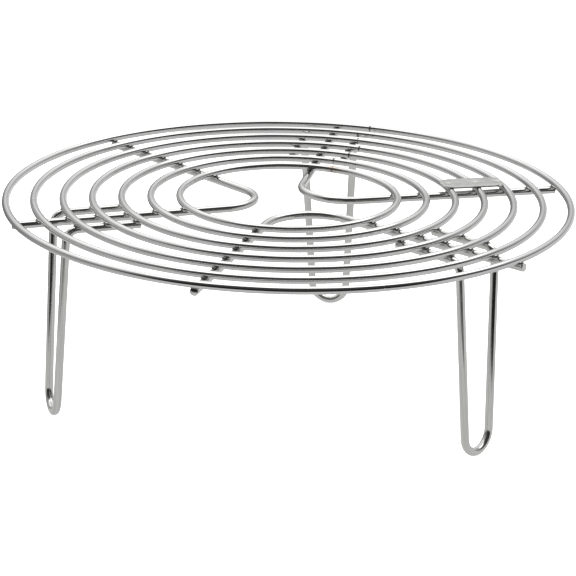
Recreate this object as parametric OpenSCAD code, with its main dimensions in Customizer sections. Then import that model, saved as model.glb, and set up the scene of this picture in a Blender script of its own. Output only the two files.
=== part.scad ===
/* [Rings] */
// Diameter over the outermost ring
rack_d = 305; // [290:1:330]
// Height from the surface under the feet to the top of the rings
rack_h = 113; // [90:0.5:130]
// Diameter of the ring wire
ring_wire_d = 4; // [3.6:0.1:4.4]
// Diameter of the heavier wire that the spokes and legs are made from
frame_wire_d = 4.4; // [4:0.1:4.8]
// Spacing from the outermost ring to the next one
rim_gap = 14.7; // [13:0.1:15]
// Spacing of the other rings
ring_pitch = 15.5; // [14:0.1:16]
// Depth that crossing wires are pressed into each other when they are welded
set_down = 0.4; // [0.2:0.05:0.6]

/* [Spokes] */
// Angle between the two arms of one spoke wire
spoke_spread = 66; // [56:1:70]
// Bend radius of the back spoke wire
back_bend_r = 24; // [16:1:26]
// Bend radius of the left spoke wire
left_bend_r = 21; // [16:1:26]
// Bend radius of the front spoke wire
front_bend_r = 26; // [16:1:28]

/* [Legs] */
// Distance from the middle of the rack to a leg at its top
leg_top_reach = 125.1; // [124:0.1:127]
// Distance from the middle of the rack to the foot of the left and right legs
front_foot_reach = 130.7; // [126:0.1:140]
// Distance from the middle of the rack to the foot of the back leg
back_foot_reach = 140; // [126:0.1:142]
// Spacing of a leg's two uprights at the top
leg_top_gap = 30; // [26:0.2:36]
// Bend radius at the foot
foot_bend_r = 10.4; // [7:0.1:11]
// Bend radius where an upright turns in under the rings
shoulder_bend_r = 6.5; // [5:0.5:7]

/* [Plate] */
// Length of the blank name plate
plate_l = 35; // [33:1:38]
// Width of the blank name plate
plate_w = 16; // [15:0.5:18]
// Thickness of the blank name plate
plate_t = 1; // [0.8:0.1:1.5]

/* [Hidden] */
$fn = 96;

STEEL = [0.80, 0.80, 0.79];
WELD = [0.55, 0.53, 0.50];

ring_wire_r = ring_wire_d / 2;
frame_wire_r = frame_wire_d / 2;
rings = 7;
// A bend is this much fatter than the straight wire, which runs this far into it
bend_swell = 0.02;
bend_lap = 0.1;
// Axis height of the rings, and of the spokes and leg arms that lie under them
ring_z = rack_h - ring_wire_r;
arm_z = ring_z - ring_wire_r - frame_wire_r + set_down;
// Height at which a ring is welded to the wire below it
contact_z = ring_z - ring_wire_r + set_down / 2;
// Axis radius of ring i, where the outermost is 0
function ring_r(i) = rack_d / 2 - ring_wire_r - (i == 0 ? 0 : rim_gap + (i - 1) * ring_pitch);

// The three legs stand a third of a turn apart: back, left, right
BACK = 90;
LEFT = 210;
RIGHT = 330;
// Corner of each spoke wire before it is bent round, in the frame of the leg that it runs to.
// The wires are bent by hand, so the corners sit a few millimetres off the middle.
back_corner = [-2.4, -1.4];
left_corner = [2.9, 1.4];
front_corner = [0.8, -1.1];
// How far the cut ends of the spokes reach past the axis of the outermost ring.
// At the left leg the end stops under the ring; at the right leg it shows beside the ring.
spoke_overrun = 0.6;
short_overrun = -0.4;
long_overrun = 2.8;

// Outermost and innermost rings that the leg arms are welded to
first_leg_ring = 2;
last_leg_ring = 4;
// How far a leg arm reaches past the axis of its last ring
leg_overrun = 2;

// Butt weld that closes each ring, at this distance to the right of the middle of the back leg.
// The rings are laid into the welding jig by hand, so it wanders from ring to ring.
seam_x = [22, 17, 19.5, 23, 19.5, 13, 15];
seam_l = 1.6;
seam_proud = 0.12;
// Radius of the bead squeezed out at each crossing
bead_r = 2.1;

// The plate lies across rings 3, 4 and 5
plate_reach = 102.6;
plate_angle = 24.2;
plate_corner_r = 7;
plate_sink = 0.3;
// Spot weld between the plate and a ring, and the electrode's dimple over it
nugget_r = 1.2;
nugget_depth = 0.5;
dimple_r = 4;
dimple_depth = 0.25;

// Vector helpers
function unit(v) = v / norm(v);
function polar(r, a) = [r * cos(a), r * sin(a)];
function turned(p, a) = [p.x * cos(a) - p.y * sin(a), p.x * sin(a) + p.y * cos(a)];
function at_z(p, z) = [p.x, p.y, z];
// Point at distance r from the middle on the line from a through b
function on_circle(a, b, r) =
    let (u = unit(b - a), along = a * u)
    a + u * (sqrt(along * along - a * a + r * r) - along);

// Angle between the two wires that meet at corner c, and how far back its bend starts
function half_angle(a, c, b) = acos(unit(a - c) * unit(b - c)) / 2;
function bend_back(a, c, b, r) = r / tan(half_angle(a, c, b));

// Straight length of frame wire from p to q
module straight_wire(p, q) {
    v = q - p;
    translate(p)
        rotate([0, acos(v.z / norm(v)), atan2(v.y, v.x)])
            cylinder(r = frame_wire_r, h = norm(v));
}

// Bend of radius r that rounds corner c between the wires towards a and b
module wire_bend(a, c, b, r) {
    half = half_angle(a, c, b);
    ua = unit(a - c);
    ub = unit(b - c);
    mid = unit(ua + ub);
    up = unit(cross(ua, ub));
    centre = c + mid * r / sin(half);
    // The bend starts square to the wire towards b
    start = unit(c + ub * r / tan(half) - centre);
    side = cross(up, start);
    multmatrix([
        [start.x, side.x, up.x, centre.x],
        [start.y, side.y, up.y, centre.y],
        [start.z, side.z, up.z, centre.z],
        [0, 0, 0, 1]
    ])
        rotate_extrude(angle = 180 - half * 2)
            translate([r, 0])
                circle(r = frame_wire_r + bend_swell);
}

// One length of wire through the corners pts, with a bend radius for each inner corner
module bent_wire(pts, radii) {
    last = len(pts) - 1;
    trims = [for (i = [0 : last]) i == 0 || i == last ? 0
        : bend_back(pts[i - 1], pts[i], pts[i + 1], radii[i - 1]) - bend_lap];
    for (i = [0 : last - 1]) {
        u = unit(pts[i + 1] - pts[i]);
        straight_wire(pts[i] + u * trims[i], pts[i + 1] - u * trims[i + 1]);
    }
    for (i = [1 : last - 1]) {
        wire_bend(pts[i - 1], pts[i], pts[i + 1], radii[i - 1]);
    }
}

// Plan points of a spoke wire that runs to the leg at angle a: end, corner, end
function spoke_plan(a, corner, overrun) = [
    polar(ring_r(0) + overrun, a),
    turned(corner, a),
    polar(ring_r(0) + spoke_overrun, a - spoke_spread)
];
back_plan = spoke_plan(BACK, back_corner, spoke_overrun);
left_plan = spoke_plan(LEFT, left_corner, short_overrun);
front_plan = spoke_plan(RIGHT, front_corner, long_overrun);

// Plan points of one leg arm at angle a on side s: shoulder, inner end
leg_arm_end = sqrt(pow(ring_r(last_leg_ring), 2) - pow(leg_top_gap / 2, 2)) - leg_overrun;
function leg_arm_plan(a, s) = [
    turned([leg_top_reach, s * leg_top_gap / 2], a),
    turned([leg_arm_end, s * leg_top_gap / 2], a)
];

// How far a leg leans out of the upright to bring its foot out to foot_reach
function leg_lean(foot_reach) = atan((foot_reach - leg_top_reach) / (arm_z - foot_bend_r));
// Length of an upright's axis from the arm height down to the middle of the foot bend
function upright_l(lean) =
    (arm_z - frame_wire_r - bend_swell - foot_bend_r * cos(lean)) / cos(lean);
// Half of the angle at which the uprights spread from the foot
function leg_half(l) = acos(foot_bend_r / norm([leg_top_gap / 2, l])) - atan2(l, leg_top_gap / 2);
// The uprights' axes would meet below the foot, this far down the leg
function foot_drop(l) = foot_bend_r / sin(leg_half(l)) + l;
function foot_corner(lean) =
    let (drop = foot_drop(upright_l(lean)))
    [leg_top_reach + drop * sin(lean), 0, arm_z - drop * cos(lean)];

module leg_wire(a, foot_reach) {
    arm_ends = [for (s = [1, -1]) [leg_arm_end, s * leg_top_gap / 2, arm_z]];
    shoulders = [for (s = [1, -1]) [leg_top_reach, s * leg_top_gap / 2, arm_z]];
    foot = foot_corner(leg_lean(foot_reach));
    rotate([0, 0, a])
        bent_wire(
            [arm_ends[0], shoulders[0], foot, shoulders[1], arm_ends[1]],
            [shoulder_bend_r, foot_bend_r, shoulder_bend_r]
        );
}

// Straight arms that pass under the rings
module spoke_arms(plan) {
    for (end = [plan[0], plan[2]]) {
        straight_wire(at_z(on_circle(plan[1], end, ring_r(rings)), arm_z), at_z(end, arm_z));
    }
}

module leg_arms(a) {
    for (s = [1, -1]) {
        plan = leg_arm_plan(a, s);
        straight_wire(at_z(plan[1], arm_z), at_z(plan[0], arm_z));
    }
}

// Ring i, from angle a round through sweep
module ring_arc(i, a, sweep, r) {
    translate([0, 0, ring_z])
        rotate([0, 0, a])
            rotate_extrude(angle = sweep)
                translate([ring_r(i), 0])
                    circle(r = r);
}

function seam_angle(i) = acos(seam_x[i] / ring_r(i));
function seam_sweep(i) = seam_l / ring_r(i) * 180 / PI;

// A ring bent from one length of wire, with saddles where it is pressed onto what is under it
module ring(i) {
    color(STEEL)
        difference() {
            ring_arc(i, seam_angle(i) + seam_sweep(i), 360 - seam_sweep(i), ring_wire_r);
            spoke_arms(back_plan);
            spoke_arms(left_plan);
            spoke_arms(front_plan);
            if (i >= first_leg_ring && i <= last_leg_ring) {
                leg_arms(BACK);
                leg_arms(LEFT);
                leg_arms(RIGHT);
                plate_blank();
                nuggets();
            }
        }
}

module ring_seam_welds() {
    color(WELD)
        for (i = [0 : rings - 1]) {
            ring_arc(i, seam_angle(i), seam_sweep(i), ring_wire_r + seam_proud);
        }
}

module spoke(plan, bend_r) {
    color(STEEL)
        bent_wire([for (p = plan) at_z(p, arm_z)], [bend_r]);
}

module leg(a, foot_reach) {
    color(STEEL)
        leg_wire(a, foot_reach);
}

// Bead squeezed out where ring i crosses the wire from p to q
module crossing_bead(i, p, q) {
    difference() {
        translate(at_z(on_circle(p, q, ring_r(i)), contact_z))
            sphere(r = bead_r);
        ring_arc(i, 0, 360, ring_wire_r);
        straight_wire(at_z(p, arm_z), at_z(q, arm_z));
    }
}

module spoke_welds(plan) {
    color(WELD)
        for (i = [0 : rings - 1], end = [plan[0], plan[2]]) {
            crossing_bead(i, plan[1], end);
        }
}

module leg_welds(a) {
    color(WELD)
        for (i = [first_leg_ring : last_leg_ring], s = [1, -1]) {
            arm = leg_arm_plan(a, s);
            crossing_bead(i, arm[1], arm[0]);
        }
}

// Outline of the plate: a rectangle with round corners
module plate_outline() {
    straight_l = plate_l - 2 * plate_corner_r;
    straight_w = plate_w - 2 * plate_corner_r;
    square([plate_l, straight_w], center = true);
    square([straight_l, plate_w], center = true);
    for (x = [-1, 1], y = [-1, 1]) {
        translate([x * straight_l / 2, y * straight_w / 2])
            circle(r = plate_corner_r);
    }
}

module plate_blank() {
    rotate([0, 0, plate_angle])
        translate([plate_reach, 0, rack_h - plate_sink])
            linear_extrude(plate_t)
                plate_outline();
}

// Places its children where the plate crosses rings 3, 4 and 5
module at_plate_spots(z) {
    for (i = [first_leg_ring : last_leg_ring]) {
        x = min(ring_r(i), plate_reach + plate_l / 2 - 2 * nugget_r);
        rotate([0, 0, plate_angle])
            translate([x, 0, z])
                children();
    }
}

module nuggets() {
    at_plate_spots(rack_h - plate_sink - nugget_depth)
        cylinder(r = nugget_r, h = nugget_depth * 2);
}

module name_plate() {
    color(STEEL)
        difference() {
            plate_blank();
            nuggets();
            at_plate_spots(rack_h - plate_sink + plate_t + dimple_r - dimple_depth)
                sphere(r = dimple_r);
        }
}

module plate_welds() {
    color(WELD)
        nuggets();
}

ring(0);  // ring_1_rim
ring(1);  // ring_2
ring(2);  // ring_3
ring(3);  // ring_4
ring(4);  // ring_5
ring(5);  // ring_6
ring(6);  // ring_7_inner
spoke(back_plan, back_bend_r);  // spoke_back
spoke(left_plan, left_bend_r);  // spoke_left
spoke(front_plan, front_bend_r);  // spoke_front
leg(BACK, back_foot_reach);  // leg_back
leg(LEFT, front_foot_reach);  // leg_left
leg(RIGHT, front_foot_reach);  // leg_right
name_plate();
ring_seam_welds();
spoke_welds(back_plan);  // spoke_back_welds
spoke_welds(left_plan);  // spoke_left_welds
spoke_welds(front_plan);  // spoke_front_welds
leg_welds(BACK);  // leg_back_welds
leg_welds(LEFT);  // leg_left_welds
leg_welds(RIGHT);  // leg_right_welds
plate_welds();
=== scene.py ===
"""Round stainless wire cooling rack: finished wires, weld beads and plate around the CAD frame, in metres."""
import math

import bpy
import numpy as np
from mathutils import Matrix, Vector


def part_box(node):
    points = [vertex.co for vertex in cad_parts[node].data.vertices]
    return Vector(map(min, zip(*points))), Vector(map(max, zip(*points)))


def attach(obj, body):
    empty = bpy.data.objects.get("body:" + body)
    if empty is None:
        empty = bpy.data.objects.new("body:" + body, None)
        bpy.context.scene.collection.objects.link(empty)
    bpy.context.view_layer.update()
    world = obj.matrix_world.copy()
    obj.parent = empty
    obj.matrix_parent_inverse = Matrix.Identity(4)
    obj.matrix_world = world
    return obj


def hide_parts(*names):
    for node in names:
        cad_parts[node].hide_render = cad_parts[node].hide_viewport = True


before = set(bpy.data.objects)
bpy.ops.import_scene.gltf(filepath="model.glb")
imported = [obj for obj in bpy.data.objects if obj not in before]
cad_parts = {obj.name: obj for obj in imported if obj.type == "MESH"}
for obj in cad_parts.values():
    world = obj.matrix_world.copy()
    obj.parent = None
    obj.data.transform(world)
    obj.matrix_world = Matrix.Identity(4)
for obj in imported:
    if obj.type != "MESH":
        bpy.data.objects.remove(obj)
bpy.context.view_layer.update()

MM = 0.001
UP = np.array([0.0, 0.0, 1.0])
rng = np.random.default_rng(7)

# Wire sizes and places, measured on the CAD nodes
RING_NODES = ["ring_1_rim", "ring_2", "ring_3", "ring_4", "ring_5", "ring_6", "ring_7_inner"]
ring_low, ring_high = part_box("ring_2")
ring_wire_r = (ring_high.z - ring_low.z) / 2
ring_z = (ring_high.z + ring_low.z) / 2
spoke_low, spoke_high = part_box("spoke_front")
BEND_SWELL = 0.02 * MM
frame_wire_r = (spoke_high.z - spoke_low.z) / 2 - BEND_SWELL
arm_z = (spoke_high.z + spoke_low.z) / 2
ring_radii = [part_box(node)[1].y - ring_wire_r for node in RING_NODES]
plate_low, plate_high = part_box("name_plate")

# Spokes: each runs to a leg and comes back SPREAD further clockwise
SPREAD = 66
SPOKE_OVERRUN = 0.6 * MM
SHORT_OVERRUN = -0.4 * MM
LONG_OVERRUN = 2.8 * MM
# name: angle of its leg, corner in that leg's frame, bend radius, how far the end at the leg runs on
SPOKES = {
    "back": (90, (-2.4 * MM, -1.4 * MM), 24 * MM, SPOKE_OVERRUN),
    "left": (210, (2.9 * MM, 1.4 * MM), 21 * MM, SHORT_OVERRUN),
    "front": (330, (0.8 * MM, -1.1 * MM), 26 * MM, LONG_OVERRUN),
}

# Legs: hairpins with their upper ends turned in under rings 3 to 5
LEG_ANGLES = {"back": 90, "left": 210, "right": 330}
LEG_TOP_REACH = 125.1 * MM
FOOT_REACH = {"back": 140 * MM, "left": 130.7 * MM, "right": 130.7 * MM}
LEG_TOP_GAP = 30 * MM
FOOT_BEND_R = 10.4 * MM
SHOULDER_BEND_R = 6.5 * MM
LEG_OVERRUN = 2 * MM
LEG_RINGS = (2, 3, 4)

# Butt weld that closes each ring, this far to the right of the middle of the back leg
SEAM_X = [x * MM for x in (22, 17, 19.5, 23, 19.5, 13, 15)]
SEAM_L = 1.6 * MM

# Plate
PLATE_L = 35 * MM
PLATE_W = 16 * MM
PLATE_CORNER_R = 7 * MM
PLATE_ANGLE = 24.2
PLATE_CELL = 0.45 * MM
# Dimples of the spot welds, the faint ridge round each, and how far the last one stays from the end
DIMPLE_R = 1.5 * MM
DIMPLE_DEPTH = 0.28 * MM
RIDGE_R = 2.2 * DIMPLE_R
RIDGE_HEIGHT = 0.05 * MM
DIMPLE_INSET = 2.4 * MM
# How far the face falls away towards the rim, and the rounding of the rim
FACE_FALL = 0.12 * MM
RIM_R = 0.25 * MM
RIM_SEGMENTS = 3
RIM_ANGLE = 50

# Points round a wire, steps along it, and points round the eased edge of a cut end
SIDES = 28
STEP_ALONG = 1.5 * MM
LEAST_BEND_POINTS = 8
EDGE_R = 0.35 * MM
EDGE_STEPS = 5


# ---------------------------------------------------------------- geometry helpers

def unit(v):
    return v / np.linalg.norm(v)


def polar(radius, degrees):
    a = math.radians(degrees)
    return np.array([radius * math.cos(a), radius * math.sin(a)])


def turned(p, degrees):
    a = math.radians(degrees)
    return np.array([
        p[0] * math.cos(a) - p[1] * math.sin(a),
        p[0] * math.sin(a) + p[1] * math.cos(a),
    ])


def at_z(p, z):
    return np.array([p[0], p[1], z])


def on_circle(a, b, radius):
    """Point at that distance from the middle on the plan line from a through b."""
    u = unit(b - a)
    along = a @ u
    return a + u * (math.sqrt(along * along - a @ a + radius * radius) - along)


def run(p, q):
    """Points along a straight wire, without its last one."""
    count = max(2, round(np.linalg.norm(q - p) / STEP_ALONG))
    t = np.linspace(0, 1, count, endpoint=False)[:, None]
    return p * (1 - t) + q * t


def bend(a, c, b, radius):
    """Points round the bend at corner c, from the side of a to the side of b."""
    ua, ub = unit(a - c), unit(b - c)
    half = math.acos(np.clip(ua @ ub, -1, 1)) / 2
    centre = c + unit(ua + ub) * radius / math.sin(half)
    first = unit(c + ua * radius / math.tan(half) - centre)
    last = unit(c + ub * radius / math.tan(half) - centre)
    side = unit(last - first * (first @ last))
    sweep = math.pi - 2 * half
    count = max(LEAST_BEND_POINTS, round(sweep * radius / (STEP_ALONG / 2)))
    t = np.linspace(0, sweep, count)[:, None]
    return centre + radius * (np.cos(t) * first + np.sin(t) * side)


def bent_path(corners, radii):
    """Centre line of one wire through its corners, with a bend radius for each inner one."""
    out = []
    here = corners[0]
    for i in range(1, len(corners) - 1):
        arc = bend(corners[i - 1], corners[i], corners[i + 1], radii[i - 1])
        out += [run(here, arc[0]), arc[:-1]]
        here = arc[-1]
    out += [run(here, corners[-1]), corners[-1][None]]
    return np.concatenate(out)


def cut_ends(path, radius, edge):
    """Path and radii of an open wire whose two cut ends have a small round edge."""
    quarter = np.linspace(0, math.pi / 2, EDGE_STEPS)
    inset = edge * (1 - np.cos(quarter))
    drop = edge * (1 - np.sin(quarter))
    ua, ub = unit(path[1] - path[0]), unit(path[-2] - path[-1])
    start = path[0] + ua * inset[:, None]
    end = path[-1] + ub * inset[::-1, None]
    keep = path[1:-1]
    radii = np.concatenate([radius - drop, np.full(len(keep), radius), radius - drop[::-1]])
    return np.concatenate([start, keep, end]), radii


def frames(path, closed):
    """Unit tangent and two normals at each point, carried along without twist."""
    if closed:
        tangent = np.roll(path, -1, axis=0) - np.roll(path, 1, axis=0)
    else:
        tangent = np.gradient(path, axis=0)
    tangent /= np.linalg.norm(tangent, axis=1)[:, None]
    normal = np.empty_like(path)
    seed = UP if abs(tangent[0] @ UP) < 0.9 else np.array([1.0, 0.0, 0.0])
    normal[0] = unit(seed - tangent[0] * (seed @ tangent[0]))
    for i in range(1, len(path)):
        n = normal[i - 1] - tangent[i] * (normal[i - 1] @ tangent[i])
        normal[i] = unit(n)
    return tangent, normal, np.cross(tangent, normal)


def link(mesh, name):
    obj = bpy.data.objects.new(name, mesh)
    bpy.context.scene.collection.objects.link(obj)
    return obj


def mesh_object(name, verts, faces, attributes=None):
    mesh = bpy.data.meshes.new(name)
    mesh.from_pydata(verts.tolist(), [], faces)
    mesh.polygons.foreach_set("use_smooth", [True] * len(mesh.polygons))
    for key, values in (attributes or {}).items():
        kind = "FLOAT_VECTOR" if values.ndim == 2 else "FLOAT"
        layer = mesh.attributes.new(key, kind, "POINT")
        layer.data.foreach_set("vector" if values.ndim == 2 else "value", values.ravel())
    mesh.update()
    return link(mesh, name)


def tube(path, radii, closed):
    """Vertices, faces and grain coordinates of a round wire; radii is per point or per point and side."""
    tangent, normal, side = frames(path, closed)
    angle = np.linspace(0, 2 * math.pi, SIDES, endpoint=False)
    radii = np.asarray(radii, float)
    grid = radii[:, None] * np.ones(SIDES) if radii.ndim == 1 else radii
    spin = np.cos(angle)[None, :, None] * normal[:, None] + np.sin(angle)[None, :, None] * side[:, None]
    verts = (path[:, None] + grid[..., None] * spin).reshape(-1, 3)
    count = len(path)
    faces = []
    for i in range(count if closed else count - 1):
        j = (i + 1) % count
        for k in range(SIDES):
            m = (k + 1) % SIDES
            faces.append((j * SIDES + k, j * SIDES + m, i * SIDES + m, i * SIDES + k))
    if not closed:
        faces.append(tuple(range(SIDES)))
        faces.append(tuple((count - 1) * SIDES + k for k in range(SIDES - 1, -1, -1)))
    length = np.concatenate([[0], np.cumsum(np.linalg.norm(np.diff(path, axis=0), axis=1))])
    grain = np.empty((count, SIDES, 3))
    grain[..., 0] = grid.max() * np.cos(angle)
    grain[..., 1] = grid.max() * np.sin(angle)
    grain[..., 2] = length[:, None]
    return verts, faces, grain.reshape(-1, 3)


# ---------------------------------------------------------------- plan of the wires

def spoke_plan(name):
    angle, corner, _, overrun = SPOKES[name]
    rim = ring_radii[0]
    return [polar(rim + overrun, angle), turned(corner, angle), polar(rim + SPOKE_OVERRUN, angle - SPREAD)]


leg_arm_end = math.sqrt(ring_radii[4] ** 2 - (LEG_TOP_GAP / 2) ** 2) - LEG_OVERRUN


def leg_path(name):
    """Centre line of a hairpin leg: arm, shoulder, upright, foot, and back up."""
    lean = math.atan((FOOT_REACH[name] - LEG_TOP_REACH) / (arm_z - FOOT_BEND_R))
    foot_z = frame_wire_r + BEND_SWELL + FOOT_BEND_R * math.cos(lean)
    upright = (arm_z - foot_z) / math.cos(lean)
    half_gap = LEG_TOP_GAP / 2
    half = math.acos(FOOT_BEND_R / math.hypot(half_gap, upright)) - math.atan2(upright, half_gap)
    drop = FOOT_BEND_R / math.sin(half) + upright
    plan = [(leg_arm_end, half_gap), (LEG_TOP_REACH, half_gap)]
    plan += [(LEG_TOP_REACH + drop * math.sin(lean), 0)]
    plan += [(x, -y) for x, y in plan[1::-1]]
    heights = [arm_z, arm_z, arm_z - drop * math.cos(lean), arm_z, arm_z]
    corners = [at_z(turned(p, LEG_ANGLES[name]), z) for p, z in zip(plan, heights)]
    return bent_path(corners, [SHOULDER_BEND_R, FOOT_BEND_R, SHOULDER_BEND_R])


def spoke_crossings(name):
    """(point, ring number, direction of the arm, end of the arm) at each ring a spoke passes under."""
    plan = spoke_plan(name)
    out = []
    for i, radius in enumerate(ring_radii):
        for end in (plan[0], plan[2]):
            out.append((on_circle(plan[1], end, radius), i, unit(end - plan[1]), end))
    return out


def leg_crossings(name):
    out = []
    outward = polar(1, LEG_ANGLES[name])
    for i in LEG_RINGS:
        for s in (1, -1):
            a = turned((leg_arm_end, s * LEG_TOP_GAP / 2), LEG_ANGLES[name])
            b = turned((LEG_TOP_REACH, s * LEG_TOP_GAP / 2), LEG_ANGLES[name])
            out.append((on_circle(a, b, ring_radii[i]), i, -outward, a))
    return out


contact_z = (ring_z - ring_wire_r + arm_z + frame_wire_r) / 2
spoke_welds = {name: spoke_crossings(name) for name in SPOKES}
leg_welds = {name: leg_crossings(name) for name in LEG_ANGLES}
weld_points = np.array([
    at_z(p, contact_z)
    for group in (spoke_welds, leg_welds) for rows in group.values() for p, *_ in rows
])
seam_points = np.array([
    [x, math.sqrt(radius * radius - x * x), ring_z] for x, radius in zip(SEAM_X, ring_radii)
])


def nearness(verts, points, spread):
    """1 at the nearest of the points, falling to 0 over a few times spread."""
    best = np.full(len(verts), np.inf)
    for p in points:
        best = np.minimum(best, np.linalg.norm(verts - p, axis=1))
    return np.exp(-((best / spread) ** 2))


# How far the painted shade round a weld, standing for its contact shadow and dark reflections, and the heat
# tint beside the inner ring's seam reach
WELD_SHADE_REACH = 1.9 * MM
SCORCH = 5 * MM


def wire_object(name, path, radii, closed=False):
    verts, faces, grain = tube(path, radii, closed)
    grain[:, 2] += rng.uniform(0, 1)
    attributes = {
        "grain": grain,
        # Painted shade round each weld crossing: it darkens the wire for the contact shadow and dark
        # reflections there
        "weld_shade": nearness(verts, weld_points, WELD_SHADE_REACH),
        "tint": nearness(verts, seam_points[-1:], SCORCH),
    }
    return mesh_object(name, verts, faces, attributes)


# ---------------------------------------------------------------- weld beads

# Mesh cell, half size of the box round a bead, and the radius it is cut off at
BEAD_CELL = 0.22 * MM
BEAD_REACH = 2.3 * MM
BEAD_R = BEAD_REACH * 0.93
# Fillet between ring and arm and how much it varies from bead to bead
BEAD_FILLET = 0.65 * MM
FILLET_SPREAD = (0.88, 1.15)
# The bead stands proud of both wires in the corner and dives into them over this share of the fillet
BEAD_PROUD = 0.02 * MM
BEAD_DIVE = 0.09 * MM
DIVE_START = 0.45
DIVE_LENGTH = 0.5
# Passes that pull a bead's points onto its surface, with the step that measures the slope, in cells
NET_PASSES = 3
SLOPE_STEP = 0.05
LEAST_SLOPE = 0.25


def smoothstep(t):
    t = np.clip(t, 0, 1)
    return t * t * (3 - 2 * t)


def bead_field(p, row, fillet):
    """Signed distance to the bead where the ring of this crossing meets the arm under it."""
    point, ring, direction, end = row
    rim = np.hypot(p[..., 0], p[..., 1]) - ring_radii[ring]
    to_ring = np.hypot(rim, p[..., 2] - ring_z) - ring_wire_r
    from_end = p[..., :2] - end
    along = from_end @ direction
    across = from_end @ np.array([-direction[1], direction[0]])
    to_arm = np.hypot(across, p[..., 2] - arm_z) - frame_wire_r
    to_arm = np.maximum(to_arm, along)
    gap = np.abs(to_ring - to_arm)
    pull = np.maximum(fillet - gap, 0) / fillet
    blend = np.minimum(to_ring, to_arm) - pull * pull * fillet / 4
    body = blend - BEAD_PROUD + BEAD_DIVE * smoothstep((gap / fillet - DIVE_START) / DIVE_LENGTH)
    ball = np.linalg.norm(p - at_z(point, contact_z), axis=-1) - BEAD_R
    return np.maximum(body, ball)


def surface_net(field, low, high, cell):
    """Closed quad mesh of the surface where field is zero inside the box."""
    axes = [np.arange(low[k], high[k] + cell, cell) for k in range(3)]
    grid = np.stack(np.meshgrid(*axes, indexing="ij"), axis=-1)
    value = field(grid)
    inside = value < 0
    shape = np.array(value.shape) - 1
    total = np.zeros((*shape, 3))
    count = np.zeros(shape)
    corners = [(i, j, k) for i in (0, 1) for j in (0, 1) for k in (0, 1)]

    def part(a, c):
        return a[c[0]:c[0] + shape[0], c[1]:c[1] + shape[1], c[2]:c[2] + shape[2]]

    for c in corners:
        for axis in range(3):
            if c[axis]:
                continue
            d = list(c)
            d[axis] = 1
            va, vb = part(value, c), part(value, d)
            crosses = part(inside, c) != part(inside, d)
            t = np.where(crosses, va / np.where(crosses, va - vb, 1), 0)[..., None]
            spot = part(grid, c) * (1 - t) + part(grid, d) * t
            total += np.where(crosses[..., None], spot, 0)
            count += crosses
    used = count > 0
    index = np.full(shape, -1)
    index[used] = np.arange(used.sum())
    verts = total[used] / count[used][:, None]
    faces = []
    for axis in range(3):
        j, k = (axis + 1) % 3, (axis + 2) % 3
        a = np.moveaxis(inside, (axis, j, k), (0, 1, 2))
        ids = np.moveaxis(index, (axis, j, k), (0, 1, 2))
        flips = a[:-1, 1:-1, 1:-1] != a[1:, 1:-1, 1:-1]
        for i, m, n in np.argwhere(flips):
            quad = (ids[i, m, n], ids[i, m + 1, n], ids[i, m + 1, n + 1], ids[i, m, n + 1])
            faces.append(quad if a[i, m + 1, n + 1] else quad[::-1])
    step = cell * SLOPE_STEP
    for _ in range(NET_PASSES):
        here = field(verts)
        slope = np.stack([
            (field(verts + step * e) - field(verts - step * e)) / (2 * step) for e in np.eye(3)
        ], axis=-1)
        size = np.maximum((slope ** 2).sum(-1), LEAST_SLOPE)
        verts = verts - np.clip(here / size, -cell / 2, cell / 2)[:, None] * slope
    return verts, [tuple(int(v) for v in f) for f in faces]


def bead_group(name, rows):
    """All the beads of one wire as one piece made of separate solids."""
    all_verts, all_faces, base = [], [], 0
    for row in rows:
        centre = at_z(row[0], contact_z)
        fillet = BEAD_FILLET * rng.uniform(*FILLET_SPREAD)
        verts, faces = surface_net(
            lambda p: bead_field(p, row, fillet), centre - BEAD_REACH, centre + BEAD_REACH, BEAD_CELL
        )
        all_verts.append(verts)
        all_faces += [tuple(v + base for v in f) for f in faces]
        base += len(verts)
    return mesh_object(name, np.concatenate(all_verts), all_faces)


# Half length of a seam's band as a share of SEAM_L, its crown, and how deep its ends dive
SEAM_HALF = 0.6
SEAM_PROUD = 0.07 * MM
SEAM_DIVE = 0.04 * MM
SEAM_STEPS = 17
# Lumps of the crown, as shares of it: waves round the wire and along the seam
LUMPS_ROUND = (0.3, 2)
LUMPS_ALONG = (0.2, 5)
CROWN_MEAN = 0.8


def seam_group(name):
    """The butt weld of every ring: a short proud band whose ends sink into the ring."""
    all_verts, all_faces, base = [], [], 0
    for x, radius in zip(SEAM_X, ring_radii):
        middle = math.acos(x / radius) + SEAM_L / radius / 2
        half = SEAM_L * SEAM_HALF / radius
        along = np.linspace(-1, 1, SEAM_STEPS)
        angle = middle + along * half
        path = np.stack([
            radius * np.cos(angle), radius * np.sin(angle), np.full(len(angle), ring_z)
        ], axis=-1)
        around = np.linspace(0, 2 * math.pi, SIDES, endpoint=False)
        phase = rng.uniform(0, 6, 3)
        size_round, waves_round = LUMPS_ROUND
        size_along, waves_along = LUMPS_ALONG
        lumps = size_round * np.sin(waves_round * around + phase[0])[None]
        lumps = lumps + size_along * np.sin(waves_along * along + phase[1])[:, None]
        crown = SEAM_PROUD * (1 - along ** 2)[:, None] * (CROWN_MEAN + lumps) - SEAM_DIVE
        verts, faces, _ = tube(path, ring_wire_r + crown, False)
        all_verts.append(verts)
        all_faces += [tuple(v + base for v in f) for f in faces]
        base += len(verts)
    return mesh_object(name, np.concatenate(all_verts), all_faces)


# ---------------------------------------------------------------- plate

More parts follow.
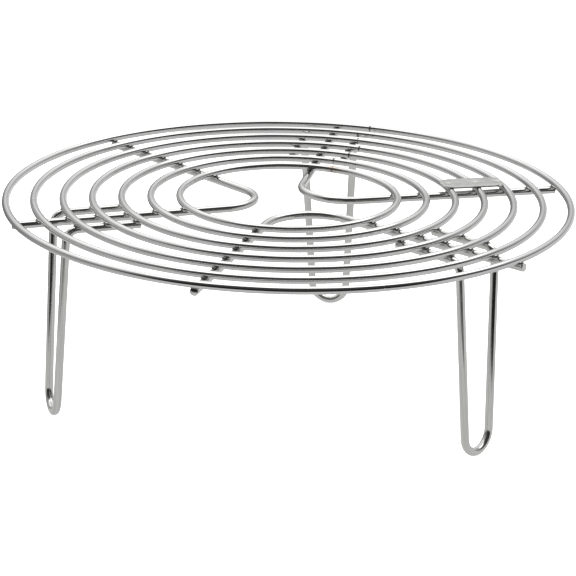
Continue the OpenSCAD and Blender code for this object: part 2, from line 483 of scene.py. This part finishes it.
def rounded_grid(half_l, half_w, corner, cell):
    """Grid of points over a rectangle whose corners are rounded, with its side counts."""
    n = round(2 * half_l / cell) + 1
    m = round(2 * half_w / cell) + 1
    x, y = np.meshgrid(np.linspace(-half_l, half_l, n), np.linspace(-half_w, half_w, m), indexing="ij")
    dx = np.maximum(np.abs(x) - (half_l - corner), 0) / corner
    dy = np.maximum(np.abs(y) - (half_w - corner), 0) / corner
    fx = np.where(dx > 0, (half_l - corner) + corner * dx * np.sqrt(1 - dy * dy / 2), np.abs(x))
    fy = np.where(dy > 0, (half_w - corner) + corner * dy * np.sqrt(1 - dx * dx / 2), np.abs(y))
    return np.sign(x) * fx, np.sign(y) * fy, n, m


def plate_object(name):
    """Blank plate with a soft rim and the dimples that its spot welds leave."""
    x, y, n, m = rounded_grid(PLATE_L / 2, PLATE_W / 2, PLATE_CORNER_R, PLATE_CELL)
    thick = plate_high.z - plate_low.z
    middle = (np.array(plate_low) + np.array(plate_high)) / 2
    reach = math.hypot(middle[0], middle[1])
    spots = [min(ring_radii[i], reach + PLATE_L / 2 - DIMPLE_INSET) - reach for i in LEG_RINGS]
    top = np.zeros_like(x)
    for spot in spots:
        distance = np.hypot(x - spot, y)
        top -= DIMPLE_DEPTH * np.exp(-((distance / DIMPLE_R) ** 2))
        top += RIDGE_HEIGHT * np.exp(-(((distance - RIDGE_R) / DIMPLE_R) ** 2))
    top -= FACE_FALL * ((x / PLATE_L * 2) ** 4 + (y / PLATE_W * 2) ** 4) / 2
    # Nothing stands above the sheet's own thickness
    upper = np.stack([x, y, np.full_like(x, thick) + np.minimum(top, 0)], axis=-1).reshape(-1, 3)
    lower = np.stack([x, y, np.zeros_like(x)], axis=-1).reshape(-1, 3)
    spin = np.array([turned(p[:2], PLATE_ANGLE) for p in np.concatenate([upper, lower])])
    verts = np.column_stack([
        spin + middle[:2], np.concatenate([upper, lower])[:, 2] + plate_low.z
    ])
    faces = []
    size = n * m
    for i in range(n - 1):
        for j in range(m - 1):
            a, b, c, d = i * m + j, (i + 1) * m + j, (i + 1) * m + j + 1, i * m + j + 1
            faces.append((a, b, c, d))
            faces.append((a + size, d + size, c + size, b + size))
    border = [i * m for i in range(n)] + [(n - 1) * m + j for j in range(1, m)]
    border += [i * m + m - 1 for i in range(n - 2, -1, -1)] + [j for j in range(m - 2, 0, -1)]
    for a, b in zip(border, border[1:] + border[:1]):
        faces.append((a, a + size, b + size, b))
    local = np.column_stack([np.concatenate([upper, lower])[:, :2], np.zeros(2 * size)])
    obj = mesh_object(name, verts, faces, {"grain": local})
    bevel = obj.modifiers.new("rim", "BEVEL")
    bevel.width = RIM_R
    bevel.segments = RIM_SEGMENTS
    bevel.limit_method = "ANGLE"
    bevel.angle_limit = math.radians(RIM_ANGLE)
    return obj


# ---------------------------------------------------------------- materials

class Graph:
    """Short calls for building a node tree."""

    def __init__(self, tree):
        self.tree = tree

    def add(self, kind, inputs=None, **settings):
        node = self.tree.nodes.new(kind)
        for key, value in settings.items():
            setattr(node, key, value)
        for key, value in (inputs or {}).items():
            if isinstance(value, bpy.types.NodeSocket):
                self.tree.links.new(value, node.inputs[key])
            else:
                node.inputs[key].default_value = value
        return node

    def math(self, operation, *values):
        return self.add("ShaderNodeMath", dict(enumerate(values)), operation=operation).outputs[0]

    def span(self, value, low, high, to_low=0.0, to_high=1.0, kind="LINEAR"):
        return self.add("ShaderNodeMapRange", {
            "Value": value, "From Min": low, "From Max": high, "To Min": to_low, "To Max": to_high,
        }, interpolation_type=kind).outputs["Result"]

    def step(self, value, low, high):
        return self.span(value, low, high, kind="SMOOTHSTEP")

    def blend(self, factor, a, b):
        return self.add("ShaderNodeMix", {"Factor": factor, "A": a, "B": b}).outputs["Result"]

    def dot(self, vector, direction):
        node = self.add("ShaderNodeVectorMath", {0: vector, 1: direction}, operation="DOT_PRODUCT")
        return node.outputs["Value"]

    def ramp(self, value, stops):
        """Levels at the stops, for a value that runs from 0 at the first stop to 1 at the last."""
        node = self.add("ShaderNodeValToRGB", {"Fac": value})
        elements = node.color_ramp.elements
        elements.remove(elements[0])
        low, high = stops[0][0], stops[-1][0]
        for i, (degrees, level) in enumerate(stops):
            position = (degrees - low) / (high - low)
            stop = elements[0] if i == 0 else elements.new(position)
            stop.position = position
            stop.color = (level, level, level, 1)
        return node.outputs["Color"]


class Paint(Graph):
    """A material with its node tree."""

    def __init__(self, name):
        self.material = bpy.data.materials.new(name)
        self.material.use_nodes = True
        super().__init__(self.material.node_tree)
        self.shader = self.tree.nodes["Principled BSDF"]

    def attribute(self, name, socket="Fac"):
        return self.add("ShaderNodeAttribute", attribute_name=name).outputs[socket]

    def place(self):
        return self.add("ShaderNodeTexCoord").outputs["Object"]

    def scaled(self, vector, scale):
        node = self.add("ShaderNodeMapping", {"Vector": vector, "Scale": scale})
        return node.outputs["Vector"]

    def noise(self, vector, scale, detail=4.0, rough=0.55):
        """Noise with about scale features to the metre."""
        node = self.add(
            "ShaderNodeTexNoise", {"Vector": vector, "Scale": scale, "Detail": detail, "Roughness": rough}
        )
        return node.outputs["Fac"]

    def mix(self, factor, a, b, blend="MIX"):
        node = self.add("ShaderNodeMix", {"Factor": factor}, data_type="RGBA", blend_type=blend)
        for socket, value in ((node.inputs[6], a), (node.inputs[7], b)):
            if isinstance(value, bpy.types.NodeSocket):
                self.tree.links.new(value, socket)
            else:
                socket.default_value = (*value, 1)
        return node.outputs[2]

    def bump(self, height, depth, under=None):
        """Normal of a relief as deep as depth in metres, on top of another relief."""
        inputs = {"Height": height, "Distance": depth, "Strength": 1.0}
        if under is not None:
            inputs["Normal"] = under
        return self.add("ShaderNodeBump", inputs).outputs["Normal"]

    def metal(self, color, roughness, normal):
        links = self.tree.links
        links.new(color, self.shader.inputs["Base Color"])
        links.new(roughness, self.shader.inputs["Roughness"])
        links.new(normal, self.shader.inputs["Normal"])
        self.shader.inputs["Metallic"].default_value = 1.0
        return self.material


HEAT_TINT = (0.46, 0.33, 0.20)
# Painted shade colour for the contact shadow and dark reflections at the welds
PAINTED_WELD_SHADE = (0.16, 0.15, 0.14)
RING_BRIGHT, RING_DULL = (0.82, 0.82, 0.815), (0.73, 0.73, 0.725)
SPOKE_BRIGHT, SPOKE_DULL = (0.82, 0.82, 0.81), (0.72, 0.72, 0.71)
LEG_BRIGHT, LEG_DULL = (0.80, 0.80, 0.78), (0.70, 0.70, 0.68)
# Weld beads kept dark as painted shade, for the contact shadow and dark reflections in the crossings' fillets
BEAD_SHADED_BRIGHT, BEAD_SHADED_DULL = (0.30, 0.29, 0.28), (0.17, 0.165, 0.16)
SEAM_BRIGHT, SEAM_DULL = (0.32, 0.31, 0.29), (0.20, 0.19, 0.175)
SHEET_BRIGHT, SHEET_DULL = (0.70, 0.70, 0.69), (0.58, 0.58, 0.57)
SHEET_MARK = (0.45, 0.44, 0.42)

# Smoothest and roughest spots, and depth of the drawing lines
RING_FINISH = (0.025, 0.06, 8e-7)
SPOKE_FINISH = (0.02, 0.05, 8e-7)
LEG_FINISH = (0.11, 0.18, 2e-6)

# Wire: features to the metre, and how far drawing lines and streaks are drawn out along it
WIRE_LINES = 3800
WIRE_STREAKS = 900
WIRE_MOTTLE = 140
WIRE_SPECKS = 2600
LINE_STRETCH = 0.012
STREAK_STRETCH = 0.03
PIT_DEPTH = 4e-6
# How strongly the painted shade round the welds darkens the wire beside them, and how much the welds roughen
# and scorch it
WELD_SHADE_SHARE = 0.5
WELD_ROUGHENING = 0.12
SCORCH_SHARE = 0.6

# Weld metal: features to the metre, and depths in metres
BEAD_LUMPS = 900
BEAD_MOTTLE = 260
BEAD_GRAIN = 5200
LUMP_DEPTH = 6e-5
GRAIN_DEPTH = 6e-6

# Sheet: features to the metre, how far they are drawn out, and depths in metres
SHEET_BRUSH = 5200
SHEET_MARKS = 420
SHEET_MOTTLE = 170
BRUSH_STRETCH = 0.04
MARK_STRETCH = 0.25
BRUSH_DEPTH = 5e-6
MARK_DEPTH = 8e-6


def wire_steel(name, bright, dull, finish):
    """Drawn and polished wire: lines along it, a mottled polish, and painted shade round the welds."""
    smooth, rough, line_depth = finish
    n = Paint(name)
    grain = n.attribute("grain", "Vector")
    lines = n.noise(n.scaled(grain, (1, 1, LINE_STRETCH)), WIRE_LINES, 3.0, 0.6)
    streaks = n.noise(n.scaled(grain, (1, 1, STREAK_STRETCH)), WIRE_STREAKS, 2.0, 0.5)
    mottle = n.noise(n.place(), WIRE_MOTTLE, 4.0, 0.6)
    specks = n.noise(n.place(), WIRE_SPECKS, 2.0, 0.5)
    weld_shade = n.attribute("weld_shade")
    tint = n.attribute("tint")
    base = n.mix(n.span(streaks, 0.35, 0.65), dull, bright)
    base = n.mix(n.span(mottle, 0.35, 0.7, 0.0, 0.35), base, dull)
    ragged = n.math("MULTIPLY", weld_shade, n.span(mottle, 0.3, 0.7, 0.55, 1.1))
    # Painted shade: the wire is darkened round each weld
    base = n.mix(n.math("MULTIPLY", ragged, WELD_SHADE_SHARE), base, PAINTED_WELD_SHADE)
    scorched = n.math("MULTIPLY", tint, n.span(mottle, 0.3, 0.7, 0.3, 1.0))
    base = n.mix(n.math("MULTIPLY", scorched, SCORCH_SHARE), base, HEAT_TINT)
    roughness = n.span(mottle, 0.3, 0.7, smooth, rough)
    roughness = n.math("ADD", roughness, n.span(streaks, 0.3, 0.7, -0.01, 0.02))
    roughness = n.math("ADD", roughness, n.math("MULTIPLY", ragged, WELD_ROUGHENING))
    pits = n.bump(n.span(specks, 0.62, 0.75, 0, -1), PIT_DEPTH)
    normal = n.bump(lines, line_depth, pits)
    return n.metal(base, roughness, normal)


def bead_steel(name, bright, dull):
    """Squeezed-out weld metal: rippled, darker, and duller than the wire, its lumps darkened with painted
    weld shade.
    """
    n = Paint(name)
    lumps = n.noise(n.place(), BEAD_LUMPS, 4.0, 0.6)
    mottle = n.noise(n.place(), BEAD_MOTTLE, 3.0, 0.5)
    fine = n.noise(n.place(), BEAD_GRAIN, 3.0, 0.6)
    base = n.mix(n.span(mottle, 0.35, 0.65), dull, bright)
    # Painted shade darkening the lumps
    base = n.mix(n.span(lumps, 0.45, 0.7, 0, 0.5), base, PAINTED_WELD_SHADE)
    roughness = n.span(lumps, 0.3, 0.7, 0.18, 0.4)
    normal = n.bump(lumps, LUMP_DEPTH, n.bump(fine, GRAIN_DEPTH))
    return n.metal(base, roughness, normal)


def plate_steel(name):
    """Rolled sheet with a fine lengthwise brush and a few handling marks."""
    n = Paint(name)
    grain = n.attribute("grain", "Vector")
    brush = n.noise(n.scaled(grain, (BRUSH_STRETCH, 1, 1)), SHEET_BRUSH, 3.0, 0.6)
    marks = n.noise(n.scaled(grain, (1, MARK_STRETCH, 1)), SHEET_MARKS, 4.0, 0.65)
    mottle = n.noise(n.place(), SHEET_MOTTLE, 4.0, 0.6)
    base = n.mix(n.span(mottle, 0.3, 0.7), SHEET_DULL, SHEET_BRIGHT)
    base = n.mix(n.span(marks, 0.62, 0.72, 0, 0.5), base, SHEET_MARK)
    roughness = n.math("ADD", n.span(brush, 0.3, 0.7, 0.2, 0.32), n.span(mottle, 0.3, 0.7, -0.04, 0.06))
    normal = n.bump(brush, BRUSH_DEPTH, n.bump(marks, MARK_DEPTH))
    return n.metal(base, roughness, normal)


ring_steel = wire_steel("ring_wire_steel", RING_BRIGHT, RING_DULL, RING_FINISH)
spoke_steel = wire_steel("spoke_wire_steel", SPOKE_BRIGHT, SPOKE_DULL, SPOKE_FINISH)
leg_steel = wire_steel("leg_wire_steel", LEG_BRIGHT, LEG_DULL, LEG_FINISH)
# Weld beads in painted shade colours
shaded_bead_metal = bead_steel("weld_bead_steel_painted_shade", BEAD_SHADED_BRIGHT, BEAD_SHADED_DULL)
seam_metal = bead_steel("seam_weld_steel", SEAM_BRIGHT, SEAM_DULL)
sheet_steel = plate_steel("plate_steel")


# ---------------------------------------------------------------- pieces

def place(obj, slot, material, *nodes):
    obj.data.materials.append(material)
    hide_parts(*nodes)
    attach(obj, "root")
    return obj


# Handling marks: ring node: angle, depth and half width of a small dent across the wire
DENTS = {
    "ring_1_rim": (-61.6, 0.10 * MM, 0.45 * MM),
    "ring_2": (-160.2, 0.07 * MM, 1.0 * MM),
}


# A dent's own points reach DENT_REACH half widths each way, and the ring's others stay off DENT_CLEAR
DENT_REACH = 3
DENT_CLEAR = 3.4
DENT_STEPS = 25


def ring_path(node, radius):
    """Centre line of a ring, with points closer together at its dent, and the wire radius at each."""
    turn = np.linspace(-math.pi, math.pi, round(2 * math.pi * radius / STEP_ALONG), endpoint=False)
    depth = 0
    if node in DENTS:
        degrees, deepest, width = DENTS[node]
        middle = math.radians(degrees)
        close = middle + np.linspace(-DENT_REACH, DENT_REACH, DENT_STEPS) * width / radius
        others = turn[np.abs(turn - middle) > DENT_CLEAR * width / radius]
        turn = np.sort(np.concatenate([others, close]))
        depth = deepest * np.exp(-(((turn - middle) * radius / width) ** 2))
    path = np.stack([radius * np.cos(turn), radius * np.sin(turn), np.full(len(turn), ring_z)], axis=-1)
    return path, np.full(len(turn), ring_wire_r) - depth


for node, radius in zip(RING_NODES, ring_radii):
    path, radii = ring_path(node, radius)
    ring = wire_object(node + "_wire", path, radii, closed=True)
    place(ring, "ring_wire", ring_steel, node)

for name, (_, _, bend_r, _) in SPOKES.items():
    corners = [at_z(p, arm_z) for p in spoke_plan(name)]
    path, radii = cut_ends(bent_path(corners, [bend_r]), frame_wire_r, EDGE_R)
    spoke = wire_object("spoke_" + name + "_wire", path, radii)
    place(spoke, "spoke_wire", spoke_steel, "spoke_" + name)
    beads = bead_group("spoke_" + name + "_beads", spoke_welds[name])
    place(beads, "weld", shaded_bead_metal, "spoke_" + name + "_welds")

for name in LEG_ANGLES:
    path, radii = cut_ends(leg_path(name), frame_wire_r, EDGE_R)
    leg = wire_object("leg_" + name + "_wire", path, radii)
    place(leg, "leg_wire", leg_steel, "leg_" + name)
    beads = bead_group("leg_" + name + "_beads", leg_welds[name])
    place(beads, "weld", shaded_bead_metal, "leg_" + name + "_welds")

place(plate_object("blank_plate"), "plate", sheet_steel, "name_plate")
place(seam_group("ring_seam_beads"), "seam_weld", seam_metal, "ring_seam_welds")
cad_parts["plate_welds"].data.materials.clear()
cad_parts["plate_welds"].data.materials.append(shaded_bead_metal)


# ---------------------------------------------------------------- studio

# Camera: turn to the right of the front, height and roll in degrees, and lens and sensor in millimetres
CAMERA_AZIMUTH = 10.72
CAMERA_ELEVATION = 19.62
CAMERA_ROLL = 1.167
CAMERA_DISTANCE = 1082.37 * MM
CAMERA_LENS = 124.02
CAMERA_SENSOR = 36
CAMERA_CLIP = (0.05, 20)
# The point it looks at, from the middle of the rings
AIM_RIGHT = 0.63 * MM
AIM_BACK = 0.1 * MM
AIM_BELOW_RINGS = 52.48 * MM

# White floor, and a pale mat round the feet that only the wires mirror
DISC_SIDES = 96
FLOOR_R = 6.0
FLOOR_GLOW = 0.85
MAT_R = 280 * MM
MAT_LIFT = 0.5 * MM
MAT_GLOW = 0.58
MAT_UNEVEN = 0.06

# Round lamp over the rack, in metres and watts
LAMP_PLACE = (0.15, -0.1, 1.6)
LAMP_SIZE = 1.4
LAMP_POWER = 14

# Strength of the studio's walls, floor and ceiling as mirrored, and of the backdrop as seen directly
WORLD_STRENGTH = 2.0
BACKDROP = 1.1
# Brightness of the studio walls against the turn from the camera's side, in degrees to the right
WALLS = [(-180, 0.29), (-168, 0.31), (-150, 0.26), (-115, 0.18), (-85, 0.10), (-60, 0.035), (-42, 0.012),
         (62, 0.012), (85, 0.03), (115, 0.12), (145, 0.22), (160, 0.26), (180, 0.29)]
# The same for the floor
GROUND = [(-180, 0.13), (-172, 0.10), (-140, 0.11), (-105, 0.19), (-70, 0.22), (-40, 0.31), (110, 0.32),
          (155, 0.36), (172, 0.42), (178, 0.34), (180, 0.13)]
# The walls brighten by this much between these heights in degrees
WALL_HEIGHTS = (5, 45)
WALL_GAIN = (0.55, 2.7)
# Height in degrees at which the ceiling starts, against the turn, and the width of its edge
CEILING = [(-180, 50), (-135, 46), (-75, 54), (-40, 72), (36, 74), (80, 52), (112, 38), (145, 38), (180, 50)]
CEILING_EDGE = 9
# Ceiling: dimmer part, and where the bright panel begins, over the camera's side and over the right
DIM_CEILING = 0.52
PANEL_FRONT = (-0.22, -0.02)
PANEL_RIGHT = (0.25, 0.42)
# Heights between which the wall gives way to the floor: at the camera's side, far side, below the camera
FLOOR_FRONT = (-25, -18)
FLOOR_FAR = (3, 11)
FLOOR_CAMERA = (-27, -20)
GAP_HALF = (5, 12)
# Where the near floor edge takes over from the far one, as the cosine of the turn
NEAR_SHARE = (0.3, 0.8)

camera_turn = math.radians(CAMERA_AZIMUTH)
toward_camera = (math.sin(camera_turn), -math.cos(camera_turn), 0)
toward_right = (math.cos(camera_turn), math.sin(camera_turn), 0)


def make_camera():
    aim = Vector((AIM_RIGHT, AIM_BACK, ring_z - AIM_BELOW_RINGS))
    data = bpy.data.cameras.new("camera")
    data.lens = CAMERA_LENS
    data.sensor_width = CAMERA_SENSOR
    data.clip_start, data.clip_end = CAMERA_CLIP
    camera = bpy.data.objects.new("camera", data)
    bpy.context.scene.collection.objects.link(camera)
    rise = math.radians(CAMERA_ELEVATION)
    camera.location = aim + CAMERA_DISTANCE * Vector((
        math.sin(camera_turn) * math.cos(rise), -math.cos(camera_turn) * math.cos(rise), math.sin(rise)
    ))
    look = (aim - camera.location).to_track_quat("-Z", "Y").to_matrix().to_4x4()
    roll = Matrix.Rotation(math.radians(CAMERA_ROLL), 4, "Z")
    camera.matrix_world = Matrix.Translation(camera.location) @ look @ roll
    bpy.context.scene.camera = camera


def disc(name, radius, height, material):
    turn = np.linspace(0, 2 * math.pi, DISC_SIDES, endpoint=False)
    verts = np.stack([radius * np.cos(turn), radius * np.sin(turn), np.full(DISC_SIDES, height)], axis=-1)
    obj = mesh_object(name, verts, [tuple(range(DISC_SIDES))])
    obj.data.materials.append(material)
    return obj


def floor():
    """White floor wide enough to fill the view, which polished wire doesn't mirror."""
    n = Paint("floor_paint")
    haze = n.noise(n.place(), 8, 3.0, 0.5)
    color = n.mix(n.span(haze, 0.3, 0.7), (0.93, 0.93, 0.93), (0.95, 0.95, 0.95))
    n.tree.links.new(color, n.shader.inputs["Base Color"])
    n.shader.inputs["Roughness"].default_value = 0.9
    n.shader.inputs["Specular IOR Level"].default_value = 0.0
    n.shader.inputs["Emission Color"].default_value = (1, 1, 1, 1)
    n.shader.inputs["Emission Strength"].default_value = FLOOR_GLOW
    disc("floor", FLOOR_R, 0, n.material).visible_glossy = False


def mat():
    """Pale disc under the rack, seen only as a reflection in the legs and the undersides."""
    n = Paint("mat_glow")
    glow = n.span(
        n.noise(n.place(), 12), 0.3, 0.7, MAT_GLOW * (1 - MAT_UNEVEN), MAT_GLOW * (1 + MAT_UNEVEN)
    )
    n.shader.inputs["Base Color"].default_value = (0, 0, 0, 1)
    n.shader.inputs["Specular IOR Level"].default_value = 0.0
    n.shader.inputs["Emission Color"].default_value = (1, 1, 1, 1)
    n.tree.links.new(glow, n.shader.inputs["Emission Strength"])
    obj = disc("mat", MAT_R, MAT_LIFT, n.material)
    obj.visible_camera = False
    obj.visible_diffuse = False
    obj.visible_shadow = False


def lamp():
    data = bpy.data.lights.new("overhead", "AREA")
    data.shape = "DISK"
    data.size = LAMP_SIZE
    data.energy = LAMP_POWER
    obj = bpy.data.objects.new("overhead", data)
    obj.location = LAMP_PLACE
    obj.rotation_euler = (-Vector(LAMP_PLACE)).to_track_quat("-Z", "Y").to_euler()
    bpy.context.scene.collection.objects.link(obj)
    obj.visible_glossy = False


def studio_world():
    """Soft ceiling light with a dark wall behind the camera, which polished wire shows as a dark line."""
    world = bpy.data.worlds.new("studio")
    world.use_nodes = True
    world.node_tree.nodes.clear()
    n = Graph(world.node_tree)

    # Height above the horizon, and turn from the camera's side, of the way a ray goes
    way = n.add("ShaderNodeTexCoord").outputs["Generated"]
    split = n.add("ShaderNodeSeparateXYZ", {"Vector": way})
    height = n.math("MULTIPLY", n.math("ARCSINE", split.outputs["Z"]), math.degrees(1))
    flat = n.add("ShaderNodeCombineXYZ", {"X": split.outputs["X"], "Y": split.outputs["Y"]})
    flat = n.add("ShaderNodeVectorMath", {0: flat.outputs[0]}, operation="NORMALIZE").outputs["Vector"]
    facing = n.dot(flat, toward_camera)
    turn = n.math("MULTIPLY", n.math("ARCTAN2", n.dot(flat, toward_right), facing), math.degrees(1))
    around = n.span(turn, -180, 180)

    wall = n.math("MULTIPLY", n.ramp(around, WALLS), n.span(height, *WALL_HEIGHTS, *WALL_GAIN))

    # A ramp's levels stop at 1, so the ceiling's height goes through one as a share of 90 degrees
    low_edge = n.ramp(around, [(degrees, low / 90) for degrees, low in CEILING])
    low_edge = n.math("MULTIPLY", low_edge, 90.0)
    ceiling = n.step(height, low_edge, n.math("ADD", low_edge, float(CEILING_EDGE)))
    panel_front = n.step(n.dot(way, toward_camera), *PANEL_FRONT)
    panel_right = n.step(n.dot(way, toward_right), *PANEL_RIGHT)
    ceiling_level = n.blend(n.math("MAXIMUM", panel_front, panel_right), DIM_CEILING, 1.0)

    near = n.step(facing, *NEAR_SHARE)
    beside = n.step(n.math("ABSOLUTE", turn), *GAP_HALF)
    edges = [
        n.blend(beside, float(camera_edge), n.blend(near, float(far_edge), float(front_edge)))
        for camera_edge, far_edge, front_edge in zip(FLOOR_CAMERA, FLOOR_FAR, FLOOR_FRONT)
    ]
    ground = n.span(height, *edges, 1.0, 0.0, "SMOOTHSTEP")

    level = n.blend(ground, n.blend(ceiling, wall, ceiling_level), n.ramp(around, GROUND))
    room = n.add("ShaderNodeBackground", {"Color": level, "Strength": WORLD_STRENGTH})
    plain = n.add("ShaderNodeBackground", {"Color": (1, 1, 1, 1), "Strength": BACKDROP})
    seen = n.add("ShaderNodeLightPath").outputs["Is Camera Ray"]
    both = n.add("ShaderNodeMixShader", {0: seen, 1: room.outputs[0], 2: plain.outputs[0]})
    out = n.add("ShaderNodeOutputWorld")
    n.tree.links.new(both.outputs[0], out.inputs["Surface"])
    bpy.context.scene.world = world


make_camera()
floor()
mat()
studio_world()
lamp()
bpy.context.scene.view_settings.view_transform = "Standard"
bpy.context.scene.view_settings.look = "None"
